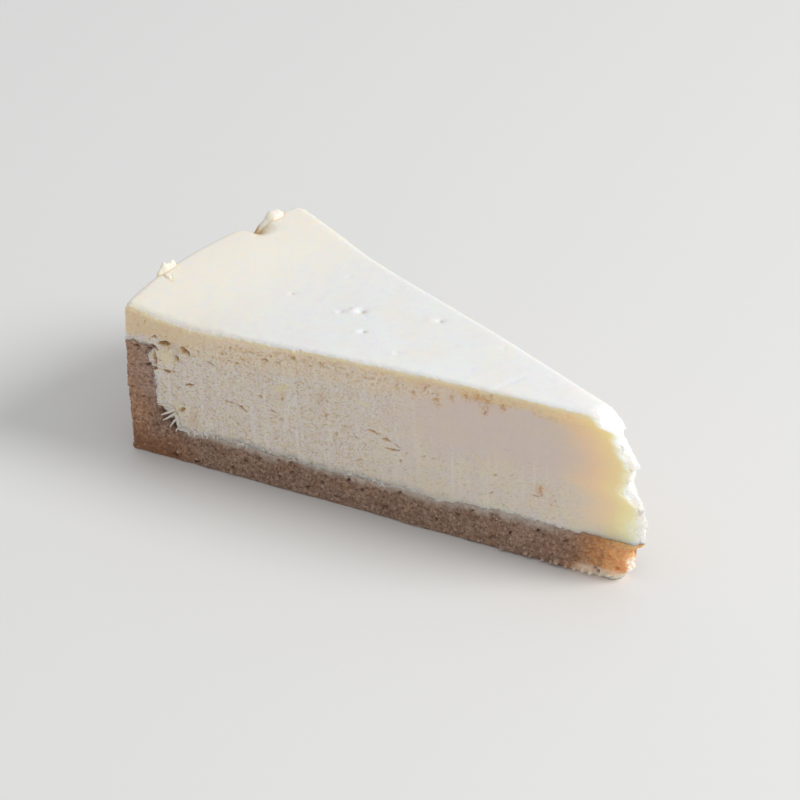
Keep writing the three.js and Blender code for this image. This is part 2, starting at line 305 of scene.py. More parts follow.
# marks on the skin: place, size and depth; a minus depth is a blister
skinMarks = [
    ((-17.2, 1.3), 1.1, 0.6), ((-19.3, 0.2), 1.2, -0.3), ((-20.9, -1.6), 0.6, 0.25),
    ((-22.0, -2.4), 0.7, -0.15), ((-14.6, -0.4), 0.7, 0.12), ((-10.7, -5.3), 0.8, 0.32),
    ((-12.2, -6.4), 0.8, -0.16), ((-30.5, 12.0), 0.9, 0.16), ((-0.3, 8.0), 1.0, 0.35),
    ((-2.4, 6.8), 1.0, -0.15), ((1.4, -8.0), 0.7, 0.16), ((0.4, -9.0), 0.7, -0.12),
    ((18.4, 6.8), 0.8, 0.15), ((-35.1, -1.4), 0.7, 0.16), ((-36.2, -2.8), 0.7, -0.14),
    ((9.0, 1.5), 0.7, 0.1),
]

# tears that the knife opened on the -Y cut: from (along, up) to (along, up), width, depth
tears = [
    ((114.2, 20.4), (112.0, 21.1), 0.24, 0.8), ((104.6, 19.3), (101.6, 19.0), 0.2, 0.7),
    ((101.8, 19.1), (98.5, 17.8), 0.27, 1.0), ((95.9, 22.9), (94.4, 22.3), 0.26, 0.8),
    ((101.6, 14.2), (100.9, 13.9), 0.28, 0.6), ((92.9, 19.9), (91.0, 19.8), 0.22, 0.7),
    ((90.4, 18.7), (89.4, 18.0), 0.4, 0.5), ((74.7, 20.8), (73.2, 21.2), 0.22, 0.6),
    ((72.3, 18.9), (70.3, 18.6), 0.24, 0.6), ((68.9, 21.5), (65.2, 21.3), 0.24, 0.9),
    ((65.2, 20.5), (62.7, 19.8), 0.24, 0.9), ((64.4, 18.0), (60.6, 18.1), 0.25, 1.0),
    ((62.4, 19.9), (60.3, 18.6), 0.22, 0.7), ((72.3, 12.7), (68.8, 13.6), 0.22, 0.6),
    ((60.9, 16.1), (60.1, 15.4), 0.26, 0.6), ((59.4, 18.0), (58.8, 17.9), 0.28, 0.6),
    ((55.2, 18.8), (54.5, 18.7), 0.25, 0.6), ((38.4, 18.6), (37.5, 18.4), 0.24, 0.7),
    ((39.4, 14.1), (38.4, 13.9), 0.22, 0.6), ((29.6, 16.4), (27.6, 15.7), 0.24, 0.7),
    ((25.3, 14.9), (24.2, 13.9), 0.22, 0.5),
    # the crevices between wall and skin, and round the lump below them
    ((122.6, 28.3), (120.6, 27.7), 0.34, 1.2), ((126.8, 28.0), (125.4, 27.6), 0.2, 0.7),
    ((122.8, 23.1), (121.3, 22.7), 0.3, 1.0), ((120.6, 25.2), (119.3, 25.5), 0.2, 0.6),
    ((119.7, 23.0), (117.9, 22.8), 0.36, 1.4), ((117.5, 23.0), (116.6, 23.2), 0.24, 0.8),
    ((116.3, 27.6), (115.6, 26.0), 0.3, 0.9), ((114.9, 29.9), (112.7, 28.3), 0.46, 1.5),
    ((120.3, 29.5), (117.4, 29.9), 0.46, 1.8), ((122.4, 31.0), (120.7, 31.1), 0.24, 0.7),
    ((121.9, 27.2), (121.6, 23.4), 0.34, 1.2), ((116.4, 13.6), (114.6, 14.3), 0.3, 0.8),
    # along the lower edge of the browned layer
    ((108.3, 28.0), (105.8, 27.4), 0.26, 0.8), ((109.0, 28.6), (109.1, 27.1), 0.18, 0.6),
    ((104.8, 31.2), (103.5, 30.8), 0.26, 0.7), ((103.3, 29.8), (101.8, 29.5), 0.2, 0.6),
    ((101.3, 29.8), (99.8, 29.7), 0.2, 0.7), ((99.7, 31.3), (98.2, 30.6), 0.24, 0.7),
    ((97.6, 33.1), (96.1, 33.0), 0.22, 0.6), ((95.6, 33.1), (94.6, 32.6), 0.24, 0.6),
    ((94.1, 32.2), (92.4, 32.2), 0.26, 0.9), ((90.9, 32.3), (89.4, 31.9), 0.24, 0.8),
    ((92.3, 33.9), (91.3, 33.4), 0.2, 0.5), ((87.0, 34.6), (85.6, 33.9), 0.26, 0.8),
    ((79.8, 35.2), (78.4, 33.8), 0.3, 0.7), ((110.9, 30.1), (110.0, 29.4), 0.22, 0.6),
    ((84.6, 34.2), (83.1, 34.3), 0.18, 0.5), ((82.6, 33.7), (81.6, 33.7), 0.2, 0.5),
    ((76.2, 33.9), (75.0, 34.0), 0.2, 0.5), ((73.5, 34.4), (72.1, 34.0), 0.22, 0.6),
    ((69.4, 35.0), (68.4, 34.7), 0.2, 0.5), ((67.0, 34.4), (66.0, 34.4), 0.2, 0.5),
]

# single open pores under the browned skin on the -Y cut: along, up, size
openPores = [
    (54.2, 35.5, 0.4), (51.5, 33.3, 0.6), (47.9, 35.1, 0.42), (44.5, 36.2, 0.5), (41.8, 36.9, 0.5),
    (38.6, 37.8, 0.4), (39.9, 35.8, 0.75), (40.1, 33.3, 0.35), (35.8, 35.7, 0.5), (39.6, 34.6, 0.3),
    (27.4, 17.7, 0.5), (89.8, 23.8, 0.35), (78.6, 22.2, 0.35), (79.5, 26.9, 0.3), (57.0, 33.8, 0.35),
]

# paler spots of the -Y cut: along, up, size along, size up, strength
paleSpots = [
    (86.1, 36.3, 0.7, 0.6, 0.9), (90.6, 25.7, 1.3, 0.45, 0.7), (88.6, 26.9, 1.1, 0.5, 0.7),
    (118.4, 26.9, 1.6, 1.5, 0.45), (117.0, 12.6, 0.8, 2.0, 0.5), (69.4, 27.8, 1.6, 0.5, 0.4),
]

# yellower patches of the -Y cut: along, up, size along, size up, strength
tints = [
    (112.8, 12.2, 1.3, 2.2, 0.42), (88.9, 24.2, 1.2, 2.8, 0.3), (80.2, 25.2, 1.0, 2.6, 0.3),
    (95.0, 27.6, 1.0, 1.6, 0.25), (101.2, 24.8, 0.8, 2.2, 0.25), (115.2, 28.9, 2.0, 0.9, 0.45),
    (118.6, 29.7, 2.0, 0.7, 0.5), (60.4, 34.0, 1.2, 0.9, 0.3), (26.5, 18.4, 2.0, 0.8, 0.4),
    (24.6, 15.0, 0.7, 1.6, 0.3), (41.2, 36.0, 3.6, 0.9, 0.35),
]

# raised spots on the -Y cut: along, up, size along, size up, height
raised = [
    (118.2, 26.2, 1.9, 2.3, 1.2), (114.2, 12.3, 1.5, 2.0, 0.6), (89.3, 26.2, 2.2, 0.45, 0.3),
    (86.1, 36.4, 0.5, 0.6, 0.5), (117.4, 21.6, 1.6, 0.5, 0.25), (112.0, 31.6, 1.2, 0.6, 0.2),
]

# soft spots of the -Y cut, added up
def softSpots(spots, side, along, up):
    return sum(
        strength * bell(along, spotAlong, sizeAlong) * bell(up, spotUp, sizeUp) * (side < 0)
        for spotAlong, spotUp, sizeAlong, sizeUp, strength in spots
    )

# the browned layer under the skin on the -Y cut: along, its depth, and how far down its open grain goes
browned = np.array([
    (0, 4.9, 4.9), (18, 4.6, 4.6), (27, 2.7, 2.7), (36, 2.9, 3.3), (46, 2.5, 4.2), (55, 2.3, 6.0),
    (65, 1.9, 6.4), (75, 2.0, 6.8), (85, 2.3, 7.2), (94, 2.2, 7.4), (102, 3.0, 7.8), (110, 3.8, 7.2),
    (116, 5.2, 6.2), (123, 5.6, 5.6), (130, 7.5, 7.5),
])

# how deep a set of slits cuts at each place
def slitDepth(slits, along, up):
    deepest = np.zeros(len(along))
    spot = np.stack([along, up, 0 * up], axis=-1)
    ragged = 0.3 * lumps(spot, 1.1, 71) + 0.12 * lumps(spot, 0.5, 72)
    for (startAlong, startUp), (endAlong, endUp), width, depth in slits:
        run = np.array([endAlong - startAlong, endUp - startUp])
        length = math.hypot(*run)
        t = ((along - startAlong) * run[0] + (up - startUp) * run[1]) / length ** 2
        clamped = np.clip(t, 0, 1)
        gapAlong = along - startAlong - clamped * run[0]
        gapUp = up - startUp - clamped * run[1] + ragged
        taper = 0.45 + 0.55 * np.sin(np.pi * clamped)
        away = np.hypot(gapAlong, gapUp) / (width * taper)
        deepest = np.maximum(deepest, depth * (0.6 + 0.4 * (along > 111)) * taper * np.exp(-away ** 2))
    return deepest

# the rest of the slits follow the same habit: short, nearly level, more of them towards the rim
def moreTears(count, seed):
    draw = np.random.default_rng(seed)
    made = []
    for _ in range(count):
        start = np.array([119 - 88 * draw.random() ** 1.4, draw.uniform(11.5, 33)])
        length = draw.uniform(0.5, 2.2)
        slope = draw.normal(0.05, 0.35)
        end = start + length * np.array([-math.cos(slope), -math.sin(slope)])
        made.append((tuple(start), tuple(end), draw.uniform(0.14, 0.2), draw.uniform(0.12, 0.4)))
    return made

# and many crowd along the lower edge of the browned layer
def edgeTears(count, seed, side):
    draw = np.random.default_rng(seed)
    made = []
    for _ in range(count):
        along = draw.uniform(48, 114)
        top = topHeight(np.array([along]), np.array([side]))[0]
        up = top - np.interp(along, browned[:, 0], browned[:, 1]) - abs(draw.normal(0, 1.7)) + 0.5
        end = (along - draw.uniform(0.3, 1.3), up + draw.normal(0, 0.25))
        made.append(((along, up), end, draw.uniform(0.18, 0.28), draw.uniform(0.18, 0.45)))
    return made

# waves and marks of the top skin, with the tear in the rim's skin
def skinRelief(spot, along, side):
    waves = 0.6 * lumps(spot, 14, 31) + 0.3 * lumps(spot, 6, 32) + 0.1 * lumps(spot, 2.4, 33)
    skin = filling["waves"] * waves * (1 - smooth(along, 121, 128))
    for (x, y), size, depth in skinMarks:
        away = np.hypot(spot[:, 0] - x, spot[:, 1] - y)
        skin -= depth * np.exp(-(away / size) ** 2)
    angle = np.degrees(np.arctan2(spot[:, 1], apexX - cake["pastCentre"] - spot[:, 0]))
    tear, crease = filling["rimTear"], filling["crease"]
    torn = bell(angle + 0.35 * lumps(spot, 1.6, 34), tear["at"], tear["spread"]) * smooth(along, 121.5, 128)
    skin -= tear["deep"] * torn
    line = bell(along + crease["slant"] * (side + 1), crease["along"], crease["wide"])
    skin -= crease["deep"] * line * (1 - smooth(side, -0.2, 0.3))
    skin += 0.12 * lumps(spot, 1.2, 35) * bell(side, -1, 0.1)
    return skin, torn

# what the filling's mesh tells its material, apart from the pits that its relief adds
fillingMarks = "along skinned coarse rimward band zone torn glow low stain rust".split()

def makeFilling():
    grid = Lattice(**filling["grid"])
    nodes, faces = grid.build([
        ((0, grid.across), (0, grid.wallColumn), (grid.baseRow, grid.rows)),
        ((0, grid.across), (grid.wallColumn, grid.columns), (grid.lipRow, grid.rows)),
    ], [grid.baseRow])
    side, along, up, top = grid.bend(nodes, filling["sunk"])
    cutSide = np.where(np.abs(side) == 1, side, 0)
    onSkin = nodes[:, 2] == grid.rows
    onTip = nodes[:, 1] == 0
    under = top - up
    skin, rimTear = skinRelief(toPlace(side, along, up), along, side)
    up = up + np.where(under < 6, skin * (1 - under / 6), 0)

    # the cut faces
    flat = np.stack([along, up, side * 40], axis=-1)
    wave = filling["knifeWave"] * (lumps(flat, 15, 41) + 0.5 * lumps(flat, 5, 42))
    rimward = smooth(along + 6 * lumps(flat, 8, 45), 46, 76)
    lower = smooth(along, 14, 24) * (1 - smooth(up + 3 * lumps(flat, 6, 50), 18, 27))
    coarse = np.maximum(rimward, 0.6 * lower)
    drag = lumps(flat * (1, 0.07, 1), 1.5, 43) + 0.6 * lumps(flat * (1, 0.12, 1), 0.8, 44)
    drag = filling["dragMarks"] * drag * (0.25 + 0.75 * smooth(along, 50, 105))
    nearTears = tears + moreTears(filling["nearTears"], 5) + edgeTears(filling["edgeTears"], 8, -1.0)
    farTears = moreTears(filling["farTears"], 6) + edgeTears(filling["edgeTears"], 9, 1.0)
    slits = np.where(side < 0, slitDepth(nearTears, along, up), slitDepth(farTears, along, up))
    pores, rust = np.zeros(len(along)), np.zeros(len(along))
    poreAway = 0.35 * lumps(flat, 0.6, 51) + 0.25 * lumps(flat, 1.2, 52)
    for poreAlong, poreUp, size in openPores:
        away = np.hypot((along - poreAlong) * 1.25, (up - poreUp) * 0.8)
        pores = np.maximum(pores, bell(np.maximum(away + poreAway, 0), 0, 0.8 * size))
        rust += bell(away, 0.2, 2.2 * size)
    pores, rust = (np.where(side < 0, value, 0) for value in (pores, rust))
    lump, tinted, pale = (softSpots(spots, side, along, up) for spots in (raised, tints, paleSpots))
    depth = np.interp(along, browned[:, 0], browned[:, 1])
    grainDepth = np.interp(along, browned[:, 0], browned[:, 2])
    ragged = under + 0.8 * lumps(flat, 3, 46) + 0.7 * lumps(flat, 1.1, 47)
    band = 1 - smooth(ragged, depth - 0.9, depth + 0.9)
    zone = smooth(ragged, depth - 1.2, depth + 0.4) * (1 - smooth(ragged, grainDepth - 1.5, grainDepth + 1))
    zone *= smooth(along, 38, 58)
    beyondTip = along - tipAlong(side, up)
    rough = lumps(flat, 1.3, 48) + 0.6 * lumps(flat, 0.6, 49)
    skinned = (1 - smooth(under + 0.3 * rough, 0.2, 1.5)) * (0.95 - 0.5 * smooth(along, 120, 127))
    skinned = np.where(onSkin, 1, skinned)
    # whiter towards the middle of the tear, and all white near the top
    tornReach = 4.3 - 1.6 * smooth(up, 12, 19)
    fold = 0.4 + 0.6 * smooth(up, 25, 32)
    inner = smooth(1 - np.abs(side) + 0.12 * rough, 0, 0.5)
    outer = 1 - smooth((beyondTip + 0.7 * rough) / tornReach, 0, 1)
    torn = np.where(onTip, fold + (1 - fold) * inner, fold * outer)
    # painted shade, with some crumb colour bled in, low on the cut where the filling meets the crust
    low = 1 - smooth(up - baseHeight(along, side) + 0.6 * rough, 0, 2.2)
    low *= smooth(along, 34, 70) * (1 - smooth(along, 104, 112))
    skinned = np.maximum(skinned, pale * (0.8 + 0.5 * rough))
    band *= 0.35 + 0.65 * smooth(beyondTip, 3, 14)
    relief = wave + drag + lump - slits - 0.3 * pores
    # real tint of the yellower patches, with painted shade in the slits and open pores
    stain = smooth(slits, 0.08, 0.42) + 0.6 * pores + tinted * (0.7 + 0.5 * rough)
    fade = smooth(under, 0.2, 1.2)
    points = toPlace(*roundAll(side, along, up, top + skin))
    points = pushCuts(points, cutSide, relief * fade)
    onCut = np.abs(cutSide)
    return addMesh("bakedFilling", points, faces, {
        "onCut": onCut, "onTip": onTip, "torn": torn, "along": along, "rimward": rimward, "band": band,
        "zone": zone, "skinned": np.clip(skinned, 0, 1), "glow": 1 - smooth(beyondTip, 1, 19),
        "coarse": coarse * (1 - 0.6 * band), "rust": np.clip(rust, 0, 1) * onCut, "low": low * onCut,
        "stain": np.clip(stain, 0, 1) * onCut + 1.5 * rimTear * (1 - smooth(under, 0, 6)) * (1 - onCut),
    })

# A closed loft along a path. Each station is a rounded section, `tall` over the path and `sink` below it.
def loft(path, tall, thick, lean, seed, sink=1.6, stations=28, around=16, ragged=0.1):
    path = np.asarray(path, float)
    t = np.linspace(0, len(path) - 1, stations)
    middle = np.stack([np.interp(t, range(len(path)), path[:, axis]) for axis in range(3)], axis=-1)
    ahead = np.gradient(middle, axis=0)
    outward = np.cross(ahead, (0, 0, 1))
    outward /= np.linalg.norm(outward, axis=1)[:, None]
    tallAt = np.interp(t, range(len(path)), tall)
    thickAt = np.interp(t, range(len(path)), thick)
    end = np.sqrt(np.clip(1 - np.abs(np.linspace(-0.97, 0.97, stations)) ** 3, 0, 1))
    points, faces = [], []
    for n in range(stations):
        wobble = 1 + ragged * lumps(middle[n:n + 1] * (1, 1, 0), 0.9, seed)[0]
        for turn in np.linspace(0, 2 * np.pi, around, endpoint=False):
            rise = math.sin(turn) * (tallAt[n] * wobble if math.sin(turn) > 0 else sink)
            out = math.cos(turn) * thickAt[n] / 2 * (1 - 0.25 * max(0, math.sin(turn)))
            spot = middle[n] + outward[n] * (out * end[n] + lean * max(rise, 0))
            spot[2] += rise * end[n]
            points.append(spot)
    points = np.array(points)
    points += 0.16 * np.stack([lumps(points, 1.1, seed + axis) for axis in (1, 2, 3)], axis=-1)
    for n in range(stations - 1):
        for k in range(around):
            a, b = n * around + k, n * around + (k + 1) % around
            faces.append((a, a + around, b + around, b))
    faces.append(tuple(range(around)))
    faces.append(tuple(range((stations - 1) * around, stations * around))[::-1])
    return points, faces

def joined(parts):
    points, faces, start = [], [], 0
    for partPoints, partFaces in parts:
        points.append(partPoints)
        faces += [tuple(v + start for v in face) for face in partFaces]
        start += len(partPoints)
    return np.concatenate(points), faces

# the two places where the tin's ring pulled the filling up as it came away: path, height, thickness
curls = [
    {"path": [(-61.5, -17.2, 37.6), (-61.9, -15.6, 38.0), (-62.0, -14.2, 38.2), (-62.0, -12.8, 38.2),
              (-61.8, -11.4, 38.0), (-61.6, -10.2, 37.8)],
     "tall": [0.3, 1.3, 2.4, 1.5, 2.3, 0.3], "thick": [1.2, 1.7, 2.0, 2.0, 1.8, 1.0],
     "lean": -0.1, "seed": 81},
    {"path": [(-61.6, -14.6, 38.0), (-59.8, -15.3, 38.0), (-58.0, -15.9, 37.7), (-56.4, -16.4, 37.3)],
     "tall": [0.8, 0.8, 0.6, 0.2], "thick": [2.6, 2.2, 1.7, 0.9], "lean": 0.0, "seed": 84},
    {"path": [(-61.0, 14.8, 36.6), (-60.7, 16.6, 37.3), (-60.4, 18.6, 37.8), (-60.1, 20.8, 38.0),
              (-59.8, 23.0, 37.8)],
     "tall": [0.3, 1.1, 2.1, 1.9, 0.3], "thick": [1.8, 3.0, 4.0, 3.8, 2.0], "lean": -0.25, "seed": 87},
]

# a curl is skin all over
def makeCurl(curl):
    points, faces = loft(**curl)
    marks = {**dict.fromkeys(fillingMarks, 0), "onCut": 0, "onTip": 0.25, "skinned": 1, "along": 124}
    return addMesh("rimCurl", points, faces, {key: np.full(len(points), marks[key]) for key in marks})

# strands that the knife wiped from the filling over the crust of the -Y cut: from and to (along, up), width
wiped = [
    ((118.4, 14.1), (121.8, 13.5), 0.5), ((117.2, 13.5), (121.1, 11.0), 0.75),
    ((117.2, 12.5), (120.7, 9.7), 0.65), ((117.3, 10.9), (119.2, 8.4), 0.55),
    ((117.0, 12.2), (116.9, 8.9), 1.1), ((116.4, 9.9), (117.5, 7.6), 0.55),
    ((114.4, 9.4), (114.1, 7.6), 0.65), ((112.4, 9.3), (112.8, 7.4), 0.6),
    ((110.7, 9.3), (110.5, 7.8), 0.5), ((106.6, 9.3), (106.8, 8.1), 0.45),
]

strand = {
    "seed": 15, "count": 46,
    "around": 8, "taper": np.array([1.2, 1.0, 0.8, 0.6, 0.35]),  # its sides, and its width at each ring
    "proud": 0.08, "thick": 0.34,  # its middle's distance off the cut, and its thickness beside its width
}

def makeStrands():
    draw = np.random.default_rng(strand["seed"])
    strands = list(wiped)
    for _ in range(strand["count"]):
        along = 116 - 7 * draw.integers(0, 9) - 3.5 * draw.random() ** 2
        height = cake["base"] + cake["thickerAtTip"] * (1 - smooth(along, 32, 52))
        start = (along, height + 0.7)
        end = (along + draw.normal(0.1, 0.6), height + 0.3 - 1.0 * draw.random() ** 2.4)
        strands.append((start, end, draw.uniform(0.35, 0.7)))
    around, rings = strand["around"], len(strand["taper"])
    last = (rings - 1) * around
    parts = []
    for start, end, width in strands:
        run = np.linspace(start, end, rings)
        run[:, 0] += draw.normal(0, 0.08, rings)
        points = []
        for (along, up), across in zip(run, width * strand["taper"]):
            ahead = np.subtract(end, start) / math.dist(start, end)
            for turn in np.linspace(0, 2 * np.pi, around, endpoint=False):
                sideways = math.cos(turn) * across / 2
                out = strand["proud"] + math.sin(turn) * across * strand["thick"]
                spot = toPlace(-1.0, along - ahead[1] * sideways, up + ahead[0] * sideways)
                points.append(spot + out * np.array([halfSine, -math.cos(cake["halfAngle"]), 0]))
        faces = [
            (n + k, n + (k + 1) % around, n + around + (k + 1) % around, n + around + k)
            for n in range(0, last, around) for k in range(around)
        ]
        faces += [tuple(range(around))[::-1], tuple(range(last, last + around))]
        parts.append((np.array(points), faces))
    points, faces = joined(parts)
    return addMesh("wipedFilling", points, faces)

crust = {
    "grid": {"across": 128, "fineStep": 0.22, "tipStep": 0.22, "baseStep": 0.22, "upStep": 0.22},
    "chip": ((124.2, 27.9), 0.8, 0.5),  # raised at the top of the -Y wall: (along, up), size, height
    "press": 0.22,           # unevenness of the pressed outside
}

# gaps between crumbs on the crust's -Y cut: along, up, size
cutPits = [
    (118.4, 1.2, 0.55), (80.5, 4.7, 0.4), (73.9, 7.1, 0.35), (65.0, 2.7, 0.6), (56.4, 10.2, 0.35),
    (100.0, 4.6, 0.4), (112.6, 1.1, 0.35), (91.5, 3.1, 0.3), (47.2, 6.2, 0.35), (34.6, 5.1, 0.3),
    (88.3, 7.4, 0.3), (70.6, 5.6, 0.3), (120.6, 11.9, 0.9), (119.3, 10.3, 1.0), (118.2, 8.8, 0.8),
    (120.9, 13.4, 0.5), (122.9, 27.6, 0.45), (123.6, 23.2, 0.45), (126.0, 27.6, 0.35), (107.5, 5.6, 0.25),
    (103.2, 2.2, 0.3), (96.2, 6.6, 0.25), (84.4, 2.4, 0.3), (77.2, 2.0, 0.25), (61.2, 7.6, 0.3),
    (52.3, 3.4, 0.3), (43.6, 8.0, 0.3), (39.2, 2.6, 0.25), (28.0, 7.4, 0.3), (21.3, 7.0, 0.35),
    (14.0, 1.4, 0.3),
]

# crumbs pressed out at the foot of the -Y cut: along, up, size
footCrumbs = [
    (112.6, 1.7, 0.5), (117.6, 2.3, 0.35), (103.6, 1.0, 0.35), (94.5, 1.1, 0.4), (30.7, 1.4, 0.65),
    (29.6, 0.9, 0.5), (23.4, 1.4, 0.85), (24.8, 0.8, 0.6), (21.2, 0.8, 0.6), (19.4, 1.1, 0.75),
    (17.4, 0.9, 0.6), (15.3, 1.1, 0.75), (13.4, 0.9, 0.6), (11.4, 1.3, 0.6), (26.6, 1.0, 0.5),
    (36.4, 1.0, 0.5), (33.5, 1.5, 0.4), (42.0, 1.0, 0.4), (50.6, 0.9, 0.45), (57.9, 1.2, 0.4),
    (66.7, 0.9, 0.4),
]

def makeCrust():
    grid = Lattice(**crust["grid"])
    nodes, faces = grid.build([
        ((0, grid.across), (0, grid.columns), (0, grid.baseRow)),
        ((0, grid.across), (grid.wallColumn, grid.columns), (grid.baseRow, grid.lipRow)),
    ], [0, grid.baseRow], keepRim=True)
    side, along, up, top = grid.bend(nodes, 0)
    cutSide = np.where(np.abs(side) == 1, side, 0)
    onRim = nodes[:, 1] == grid.columns
    side, along, up = roundAll(side, along, up, top)
    points = toPlace(side, along, up)
    pits = np.zeros(len(along))
    for pitAlong, pitUp, size in cutPits:
        pits = np.maximum(pits, bell(np.hypot((along - pitAlong) * 0.8, up - pitUp), 0, size))
    pits = np.where(cutSide < 0, pits, 0)
    wave = 0.2 * lumps(points, 9, 51) + 0.2 * lumps(points, 3.2, 52)
    (chipAlong, chipUp), size, high = crust["chip"]
    chip = high * bell(np.hypot(along - chipAlong, up - chipUp), 0, size)
    pressed = np.zeros(len(along))
    for crumbAlong, crumbUp, size in footCrumbs:
        away = np.hypot(along - crumbAlong, (up - crumbUp) * 1.2) + 0.3 * lumps(points, 0.8, 54)
        pressed = np.maximum(pressed, 1 - smooth(away, 0.45 * size, 1.1 * size))
    chip = np.where(cutSide < 0, chip + (0.5 + 0.45 * (along < 40)) * pressed, 0)
    points = pushCuts(points, cutSide, wave + chip - 0.9 * pits)
    rimWave = crust["press"] * lumps(points, 4, 53) * onRim * smooth(up, 0.5, 3)
    points += toPlace(side, rimWave, 0 * up) - toPlace(side, 0 * up, 0 * up)
    seen = (cutSide != 0) | onRim | (nodes[:, 1] == 0)
    below = baseHeight(along, side) - up
    smear = 1 - smooth(below + 0.7 * lumps(points, 1.6, 55), 0.1, 3.0 - 0.9 * smooth(along, 30, 70))
    return addMesh("biscuitCrust", points, faces, {
        "seen": seen * smooth(up, 0.05, 0.8),
        "along": along,
        "glow": (1 - smooth(along - tipAlong(side, up), 2, 15)) * smooth(side, 0.9, 0.2),
        "handPit": pits,
        "chip": pressed * (cutSide < 0),
        "smear": smear * np.abs(cutSide) * (1 - smooth(along, 113, 117)) * smooth(along, 16, 30),
    })

def linear(code):
    values = [int(code[n:n + 2], 16) / 255 for n in (1, 3, 5)]
    return [v / 12.92 if v <= 0.04045 else ((v + 0.055) / 1.055) ** 2.4 for v in values] + [1.0]

# what the trees are made of: type of node, usual settings, its inputs in the order they're given, its output
nodeKinds = {
    "given": ("NodeGroupInput", {}, (), None),
    "result": ("NodeGroupOutput", {}, (0,), None),
    "stored": ("GeometryNodeInputNamedAttribute", {"data_type": "FLOAT"}, ("Name",), 0),
    "position": ("GeometryNodeInputPosition", {}, (), 0),
    "normal": ("GeometryNodeInputNormal", {}, (), 0),
    "scale": ("ShaderNodeVectorMath", {"operation": "SCALE"}, (0, "Scale"), 0),
    "split": ("FunctionNodeSeparateColor", {}, (0,), 0),
    "move": ("GeometryNodeSetPosition", {}, ("Geometry", "Offset"), 0),
    "store": ("GeometryNodeStoreNamedAttribute", {"data_type": "FLOAT"}, ("Geometry", "Name", "Value"), 0),
    "realize": ("GeometryNodeRealizeInstances", {}, (0,), 0),
    "paint": ("GeometryNodeSetMaterial", {}, ("Geometry", "Material"), 0),
    "attribute": ("ShaderNodeAttribute", {}, (), "Fac"),
    "coordinates": ("ShaderNodeTexCoord", {}, (), "Object"),
    "stretch": ("ShaderNodeMapping", {}, ("Vector", "Scale"), 0),
    "distance": ("ShaderNodeVectorMath", {"operation": "DISTANCE"}, (0, 1), "Value"),
    "axes": ("ShaderNodeSeparateXYZ", {}, (0,), None),
    "shades": ("ShaderNodeSeparateColor", {}, (0,), None),
    "mix": ("ShaderNodeMix", {"data_type": "RGBA"}, (0, 6, 7), 2),
    "bump": ("ShaderNodeBump", {}, ("Strength", "Distance", "Height", "Normal"), 0),
    "principled": ("ShaderNodeBsdfPrincipled", {"subsurface_method": "RANDOM_WALK"}, (), 0),
    "surface": ("ShaderNodeOutputMaterial", {}, (0,), None),
    "ramp": (
        "ShaderNodeMapRange", {"interpolation_type": "SMOOTHSTEP"}, ("Value", "From Min", "From Max"), 0,
    ),
    "noise": (
        "ShaderNodeTexNoise", {"noise_dimensions": "4D"}, ("Vector", "Scale", "Detail", "Roughness", "W"), 0,
    ),
    "cells": ("ShaderNodeTexVoronoi", {"voronoi_dimensions": "4D"}, ("Vector", "Scale", "W"), None),
}
for name, operation in (
    ("add", "ADD"), ("subtract", "SUBTRACT"), ("times", "MULTIPLY"), ("divide", "DIVIDE"),
    ("timesPlus", "MULTIPLY_ADD"), ("smaller", "MINIMUM"), ("larger", "MAXIMUM"), ("below", "LESS_THAN"),
):
    nodeKinds[name] = ("ShaderNodeMath", {"operation": operation}, (0, 1, 2), 0)

# adds one node with its settings and links; an input is a value, a hex colour or another node's output
def addNode(tree, kind, *inputs, links=None, **settings):
    nodeType, usual, places, output = nodeKinds[kind]
    node = tree.nodes.new(nodeType)
    for key, value in {**usual, **settings}.items():
        setattr(node, key, value)
    for key, value in [*zip(places, inputs), *(links or {}).items()]:
        if isinstance(value, bpy.types.NodeSocket):
            tree.links.new(value, node.inputs[key])
        else:
            node.inputs[key].default_value = linear(value) if str(value).startswith("#") else value
    return node if output is None else node.outputs[output]

# a tree whose inputs are the named sizes, a seed and a material
def newTree(name, inputs):
    tree = bpy.data.node_groups.new(name, "GeometryNodeTree")
    tree.interface.new_socket("Geometry", in_out="INPUT", socket_type="NodeSocketGeometry")
    for key in (*inputs, "Seed", "Material"):
        kind = "Material" if key == "Material" else "Float"
        tree.interface.new_socket(key, in_out="INPUT", socket_type="NodeSocket" + kind)
    tree.interface.new_socket("Geometry", in_out="OUTPUT", socket_type="NodeSocketGeometry")
    add = partial(addNode, tree)
    return tree, add, add("given").outputs

# leaves a piece with the mesh that its modifier makes, and no modifier
def settle(piece, modifier):
    bpy.context.view_layer.update()
    evaluated = piece.evaluated_get(bpy.context.evaluated_depsgraph_get())
    mesh = bpy.data.meshes.new_from_object(evaluated)
    piece.modifiers.remove(modifier)
    old = piece.data
    piece.data = mesh
    bpy.data.meshes.remove(old)
    mesh.name = piece.name
    return piece

def runTree(piece, tree, values):
    modifier = piece.modifiers.new(tree.name, "NODES")
    modifier.node_group = tree
    for item in tree.interface.items_tree:
        if item.in_out == "INPUT" and item.name in values:
            modifier[item.identifier] = values[item.name]
    return settle(piece, modifier)

def fuse(piece, addition):
    modifier = piece.modifiers.new("fuse", "BOOLEAN")
    modifier.operation = "UNION"
    modifier.solver = "MANIFOLD"
    modifier.object = addition
    settle(piece, modifier)
    bpy.data.objects.remove(addition)

# ends a relief: the mesh moves along its normals, keeps one value for its material, and gets that material
def finishRelief(add, given, move, key, value):
    moved = add("move", given["Geometry"], add("scale", add("normal"), move))
    whole = add("realize", add("store", moved, key, value))
    add("result", add("paint", whole, given["Material"]))

